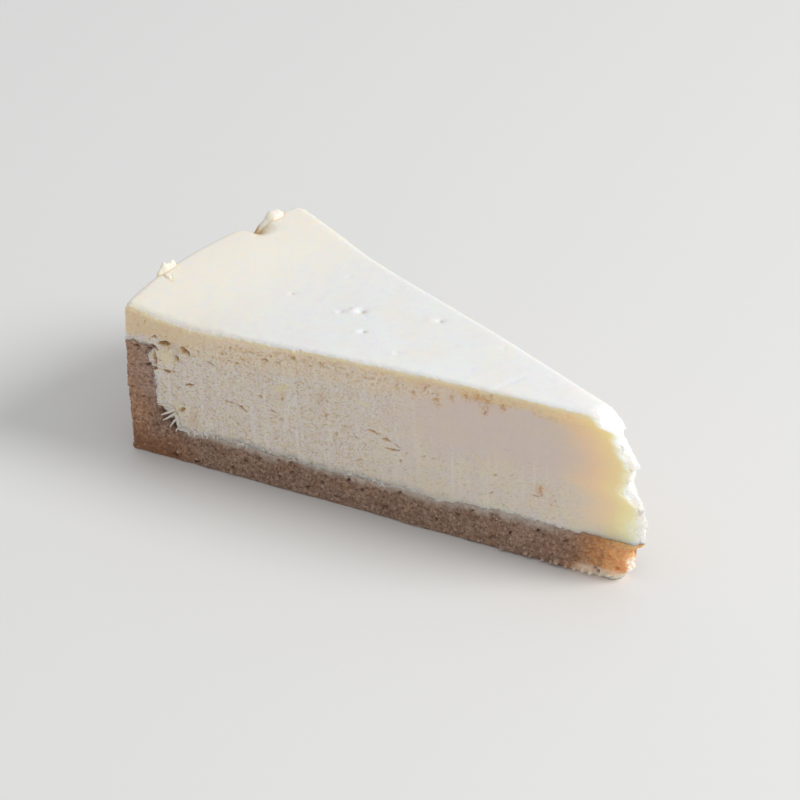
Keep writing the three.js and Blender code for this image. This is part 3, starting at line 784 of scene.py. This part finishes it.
# the filling's fine relief: grain on the cuts, coarser at the rim, pits under the skin, crags on the tear
def fillingRelief():
    tree, add, given = newTree("fillingRelief", [
        "Grain Size", "Grain Depth", "Pit Size", "Pit Depth", "Crag Size", "Crag Depth",
    ])
    where, seed = add("position"), given["Seed"]
    coarse, cut = add("stored", "coarse"), add("stored", "onCut")
    grain = add("noise", where, add("divide", 1.0, given["Grain Size"]), 3.0, 0.6, seed)
    grain = add("times", add("subtract", grain, 0.5), given["Grain Depth"])
    grain = add("times", grain, add("timesPlus", coarse, 0.8, 0.2))
    cells = add("cells", where, add("divide", 1.0, given["Pit Size"]), seed)
    most = add("timesPlus", add("stored", "zone"), 0.6, add("times", coarse, 0.2))
    pit = add("times", add("ramp", cells.outputs["Distance"], 0.42, 0.12),
              add("below", add("split", cells.outputs["Color"]), most))
    sunk = add("subtract", grain, add("times", pit, given["Pit Depth"]))
    crag = add("noise", where, add("divide", 1.0, given["Crag Size"]), 3.0, 0.6, seed)
    crag = add("times", add("subtract", crag, 0.5), given["Crag Depth"])
    crag = add("times", crag, add("stored", "onTip"))
    finishRelief(add, given, add("add", add("times", sunk, cut), crag), "pit", add("times", pit, cut))
    return tree

# the crust's crumb: broken biscuit grains, each standing at its own height, with pits between some of them
def crumbRelief():
    tree, add, given = newTree("crumbRelief", [
        "Crumb Size", "Crumb Depth", "Fine Size", "Fine Depth", "Pit Spacing", "Pit Depth",
    ])
    where, seed = add("position"), given["Seed"]
    cells = add("cells", where, add("divide", 1.0, given["Crumb Size"]), seed)
    dome = add("subtract", 0.1, cells.outputs["Distance"])
    high = add("times", add("add", add("split", cells.outputs["Color"]), dome), given["Crumb Depth"])
    fine = add("noise", where, add("divide", 1.0, given["Fine Size"]), 3.0, 0.65, seed)
    fine = add("times", add("subtract", fine, 0.5), given["Fine Depth"])
    holes = add("cells", where, add("divide", 1.0, given["Pit Spacing"]), add("add", seed, 3.0))
    pit = add("ramp", holes.outputs["Distance"], 0.26, 0.08)
    move = add("subtract", add("add", high, fine), add("times", pit, given["Pit Depth"]))
    pit = add("larger", pit, add("stored", "handPit"))
    finishRelief(add, given, add("times", move, add("stored", "seen")), "pit", pit)
    return tree

perMm = 1 / mm

def newMaterial(name):
    material = bpy.data.materials.new(name)
    material.use_nodes = True
    material.node_tree.nodes.clear()
    add = partial(addNode, material.node_tree)
    return material, add, add("coordinates")

# where a noise with lumps `size` mm apart passes from low to high
def patches(add, where, size, low, high, seed, detail=3.0):
    return add("ramp", add("noise", where, perMm / size, detail, 0.6, seed), low, high)

# colours laid over a first one: where each lies, how strongly, and the colour
def layered(add, colour, layers):
    for where, strength, over in layers:
        colour = add("mix", add("times", where, strength), colour, over)
    return colour

# small dents in the skin: place, radius; the side of each away from the light is painted an olive shade
skinDents = [
    ((-17.4, 1.2), 1.2), ((-19.9, 0.3), 1.0), ((-10.8, -5.3), 0.8), ((-0.6, 7.8), 1.0), ((-35.4, -1.6), 0.7),
]

# Baked cream cheese custard: moist, dense and slightly translucent, so light bleeds warm through thin parts;
# near the tip that warm glow is also painted into its colour.
# Under the skin it browned a little, and its open pores are the most orange; the darkness of its pores, pits
# and slits is painted shade.
def bakedCustard():
    material, add, coords = newMaterial("bakedCustard")
    along, skin, coarse, rimward, band, zone, torn, glow, low, stain, rust, pit = (
        add("attribute", attribute_name=key) for key in (*fillingMarks, "pit")
    )
    spread = partial(patches, add, coords)
    stain = add("smaller", stain, 1.0)
    upright = add("stretch", coords, (1, 1, 0.09))
    flattened = add("stretch", coords, (1, 1, 1.9))
    height = add("axes", coords).outputs["Z"]
    mottled = add("timesPlus", rimward, 0.65, 0.08)
    # pinkish cream with yellower patches, tan where it browned
    cream = add("mix", spread(5, 0.4, 0.62, 0.0), "#E8DCD2", "#EBDFC9")
    tan = layered(add, "#F0D8AC", [
        (add("ramp", along, 55, 92), 1.0, "#F5E1CB"),
        (add("ramp", along, 100, 120), 1.0, "#EED5AF"),
        (spread(1.6, 0.46, 0.66, 7.0), 1.0, "#EBDAB6"),
        (spread(0.7, 0.54, 0.64, 8.0), 0.55, "#E2C09A"),
    ])
    stainAndShadeColour = add("mix", add("ramp", along, 60, 54), "#CDAA74", "#D6A468")
    bandEdge = add("times", add("times", band, add("subtract", 1.0, band)), 2.4)
    pinker = add("times", add("ramp", along, 72, 46), add("ramp", height, 17 * mm, 27 * mm))
    paleTipGlow = add("times", add("ramp", glow, 0.82, 1.0), add("ramp", height, 26 * mm, 14 * mm))
    dragged = patches(add, upright, 1.6, 0.48, 0.7, 3.0)
    paste = layered(add, cream, [
        (mottled, 0.8, "#F1E7DB"),
        (pinker, 0.7, "#E5D1C7"),
        (spread(0.6, 0.48, 0.64, 2.0, 4.0), mottled, "#DAC7A6"),
        (spread(0.6, 0.5, 0.36, 2.0, 4.0), mottled, "#E6DCE0"),
        (patches(add, flattened, 0.7, 0.54, 0.62, 14.0, 4.0), add("times", coarse, 0.85), "#CDB592"),
        (dragged, add("timesPlus", coarse, 0.5, 0.05), "#F3EFE8"),
        (band, 0.9, tan),
        (zone, 0.5, "#F7E6CC"),
        (spread(0.6, 0.5, 0.62, 4.0), add("times", zone, 0.6), "#DDBC94"),
        (spread(1.0, 0.5, 0.6, 5.0), bandEdge, "#E6BE8A"),
        # the pits' own tan, deepened with painted shade
        (pit, add("timesPlus", zone, 0.25, 0.3), "#D4B28A"),
        (spread(0.55, 0.46, 0.58, 15.0, 4.0), add("times", rust, 0.75), "#D6A873"),
        # painted shade where the filling meets the crust, partly crumb colour bled into it
        (low, 0.8, "#C6BEB4"),
        # painted glow: the thin tip is coloured warm and pale where light comes through it
        (glow, 0.85, "#FFE3AF"),
        (paleTipGlow, 1.0, "#FFECC4"),
        # stain, and painted shade in the slits and pores
        (stain, 0.85, stainAndShadeColour),
    ])
    ivory = layered(add, "#EFEFED", [
        (add("ramp", along, 84, 124), 1.0, "#F1EADC"),
        (spread(9, 0.45, 0.7, 0.0), 0.45, "#F3EADA"),
        (spread(2.2, 0.45, 0.65, 12.0), 0.4, "#E9E9EA"),
    ])
    thinSkin = add("times", skin, add("subtract", 1.0, skin))
    colour = layered(add, paste, [
        (skin, add("subtract", 1.0, stain), ivory),
        (thinSkin, 3.2, "#EBDCB4"),
        (torn, 1.0, "#FDFBF4"),
    ])
    # the skin's dents
    level = add("stretch", coords, (1, 1, 0))
    dents, shaded = 0.0, 0.0
    for (x, y), size in skinDents:
        away = add("distance", level, (x * mm, y * mm, 0))
        dents = add("larger", dents, add("ramp", away, size * mm, 0))
        away = add("distance", level, ((x + 0.35 * size) * mm, (y + 0.3 * size) * mm, 0))
        shaded = add("larger", shaded, add("ramp", away, 0.7 * size * mm, 0.2 * size * mm))
    # painted shade on each dent's side away from the light
    colour = layered(add, colour, [(add("times", shaded, skin), 0.3, "#C2BF9E")])
    strength = add("add", add("timesPlus", skin, -0.35, 0.7), add("times", coarse, 0.4))
    strength = add("times", strength, add("timesPlus", torn, -0.75, 1.0))
    fine = add("bump", strength, 0.2 * mm, add("noise", coords, perMm / 0.5, 4.0, 0.7, 6.0))
    fine = add("bump", skin, 0.15 * mm, add("subtract", 1.0, dents), fine)
    add("surface", add("principled", links={
        "Base Color": colour, "Roughness": 0.55, "IOR": 1.4, "Subsurface Weight": 0.75,
        "Subsurface Radius": (1.0, 0.72, 0.38), "Subsurface Scale": add("timesPlus", glow, 8 * mm, 1.8 * mm),
        "Normal": fine,
    }))
    return material

# Crushed biscuit pressed with butter: dull and crumbly, no two grains the same brown; its pits and the gaps
# between grains are darkened with painted shade.
# Light comes through its thin end, whose orange glow is also painted into the colour, and a film of filling
# is smeared over its upper edge.
def biscuitCrumb():
    material, add, coords = newMaterial("biscuitCrumb")
    along, glow, pit, chip, smear = (
        add("attribute", attribute_name=key) for key in ("along", "glow", "pit", "chip", "smear")
    )
    spread = partial(patches, add, coords)
    upright = add("stretch", coords, (1, 1, 0.3))
    height = add("axes", coords).outputs["Z"]
    cells = add("cells", coords, perMm / 0.75, 0.0)
    shade = add("shades", cells.outputs["Color"]).outputs[0]
    # butter darkened the outer rim; near the wall's foot the base is golden and also darkened with painted
    # corner shade
    footGoldAndShade = add("times", add("ramp", height, 9 * mm, 1 * mm), add("ramp", along, 109, 121))
    lower = add("timesPlus", add("ramp", height, 20 * mm, 8 * mm), 0.35, 0.4)
    outer = add("times", add("ramp", along, 122, 128), lower)
    tip = add("times", add("subtract", 1.0, add("ramp", along, 8, 32)), 0.75)
    golden = add("larger", add("larger", add("times", footGoldAndShade, 0.8), outer), tip)
    upperWall = add("times", add("ramp", along, 117, 122), add("ramp", height, 11 * mm, 17 * mm))
    # the thin end: amber, with a pale foot and a pale torn edge
    foot = add("times", add("ramp", glow, 0.1, 0.45), add("ramp", height, 3.3 * mm, 1.5 * mm))
    torn = add("times", add("ramp", along, 7.8, 7.1), add("ramp", height, 6.8 * mm, 5.6 * mm))
    amber = add("times", add("ramp", along, 19, 15.5), add("ramp", along, 8, 11))
    amber = add("times", amber, add("ramp", height, 3.6 * mm, 5.2 * mm))
    brown = layered(add, add("mix", shade, "#8E7260", "#B69885"), [
        (spread(3.2, 0.5, 0.66, 0.0), 0.45, "#AD8766"),
        (upperWall, 0.6, "#C4A899"),
        (spread(2.2, 0.3, 0.56, 3.0), golden, "#BC8862"),
        (spread(0.9, 0.48, 0.6, 16.0, 4.0), outer, "#DCAE88"),
        (spread(0.7, 0.53, 0.64, 2.0, 4.0), 0.8, "#6B4C3F"),
        # painted shade in the gaps between grains
        (add("ramp", cells.outputs["Distance"], 0.4, 0.75), 0.3, "#64493C"),
        # painted shade in the corner at the foot of the wall
        (footGoldAndShade, 0.55, "#774C30"),
        # painted highlights: tiny pale specks standing in for glints on the grains
        (spread(0.55, 0.6, 0.68, 11.0), 0.65, "#D8C4B4"),
        (chip, 0.5, "#DCC5B4"),
        (patches(add, upright, 0.9, 0.2, 0.52, 13.0, 4.0), smear, "#C4B6A9"),
        # painted glow: the thin end is coloured orange and pale where light comes through it
        (glow, 0.45, "#E09A5A"),
        (spread(1.3, 0.4, 0.6, 9.0, 4.0), add("times", glow, 0.7), "#F6B874"),
        (add("ramp", glow, 0.7, 1.0), 0.45, "#FFCB90"),
        (amber, 0.12, "#B0652F"),
        (foot, 0.85, "#FFE3CC"),
        (spread(1.0, 0.36, 0.5, 21.0), torn, "#FFEFE2"),
        # painted shade in the pits
        (pit, 0.75, "#53382A"),
    ])
    fine = add("bump", 0.8, 0.25 * mm, add("noise", coords, perMm / 0.45, 4.0, 0.7, 4.0))
    add("surface", add("principled", links={
        "Base Color": brown, "Roughness": 0.85, "IOR": 1.45, "Specular IOR Level": 0.3, "Normal": fine,
        "Subsurface Weight": add("times", glow, 0.9), "Subsurface Radius": (1.0, 0.5, 0.25),
        "Subsurface Scale": 5 * mm,
    }))
    return material

# Filling wiped thin: the same custard without its browning, whiter because it is spread thin
def wipedCustard():
    material, add, coords = newMaterial("wipedCustard")
    tone = add("mix", add("noise", coords, perMm / 1.2, 3.0, 0.55, 0.0), "#E9E1D6", "#DDD0BE")
    add("surface", add("principled", links={
        "Base Color": tone, "Roughness": 0.5, "IOR": 1.4, "Subsurface Weight": 0.4,
        "Subsurface Radius": (1.0, 0.7, 0.4), "Subsurface Scale": 0.8 * mm,
    }))
    return material

def triangles(piece):
    return sum(len(face.vertices) - 2 for face in piece.data.polygons)

print("filling: lattice, knife relief and skin")
fillingPiece = makeFilling()
for curl in curls:
    fuse(fillingPiece, makeCurl(curl))
runTree(fillingPiece, fillingRelief(), {
    "Grain Size": 0.8 * mm, "Grain Depth": 1.0 * mm, "Pit Size": 0.95 * mm, "Pit Depth": 0.38 * mm,
    "Crag Size": 1.2 * mm, "Crag Depth": 1.5 * mm, "Seed": 4.0, "Material": bakedCustard(),
})
print("filling has", triangles(fillingPiece), "triangles")

print("crust: lattice and crumb")
crustPiece = makeCrust()
runTree(crustPiece, crumbRelief(), {
    "Crumb Size": 1.1 * mm, "Crumb Depth": 0.32 * mm, "Fine Size": 0.7 * mm, "Fine Depth": 0.6 * mm,
    "Pit Spacing": 2.6 * mm, "Pit Depth": 0.5 * mm, "Seed": 7.0, "Material": biscuitCrumb(),
})
print("crust has", triangles(crustPiece), "triangles")

print("filling wiped over the crust")
strandPiece = makeStrands()
strandPiece.data.materials.append(wipedCustard())

slots = ((fillingPiece, "baked_custard"), (crustPiece, "biscuit_crumb"), (strandPiece, "baked_custard"))
for piece, slot in slots:
    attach(piece, "root")
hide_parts("baked_filling")
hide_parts("crumb_crust")

studio = {
    "floorSize": 3.0, "floorColour": "#E6E5E3",
    "sky": 0.64,
    "key": {"place": (1.05, 0.6, 0.95), "size": 0.7, "power": 15.5},
}

def makeFloor():
    material, add, _ = newMaterial("paintedTable")
    add("surface", add("principled", links={
        "Base Color": studio["floorColour"], "Roughness": 0.6, "Specular IOR Level": 0.3,
    }))
    half = studio["floorSize"] / 2 / mm
    corners = [(-half, -half, 0), (half, -half, 0), (half, half, 0), (-half, half, 0)]
    floor = addMesh("floor", corners, [(0, 1, 2, 3)])
    floor.data.materials.append(material)

def makeLight(name, place, size, power):
    data = bpy.data.lights.new(name, "AREA")
    data.shape = "DISK"
    data.size = size
    data.energy = power
    light = bpy.data.objects.new(name, data)
    scene.collection.objects.link(light)
    light.location = place
    light.rotation_euler = (Vector((0, 0, 0.02)) - Vector(place)).to_track_quat("-Z", "Y").to_euler()

makeFloor()
makeLight("key", **studio["key"])
world = bpy.data.worlds.new("softSky")
world.use_nodes = True
background = world.node_tree.nodes["Background"]
background.inputs["Color"].default_value = linear("#F4F6F8")
background.inputs["Strength"].default_value = studio["sky"]
scene.world = world
scene.view_settings.view_transform = "Standard"

view = {
    "place": (0.42195, -0.46353, 0.40242),
    "forward": (-0.57977, 0.62841, -0.51862),
    "up": (-0.32667, 0.40385, 0.85452),
    "lens": 153.0, "sensor": 36.0,
}
camera = bpy.data.objects.new("camera", bpy.data.cameras.new("camera"))
scene.collection.objects.link(camera)
camera.data.lens = view["lens"]
camera.data.sensor_width = view["sensor"]
forward = Vector(view["forward"]).normalized()
right = forward.cross(Vector(view["up"])).normalized()
above = right.cross(forward)
turn = Matrix((right, above, -forward)).transposed().to_4x4()
camera.matrix_world = Matrix.Translation(view["place"]) @ turn
scene.camera = camera
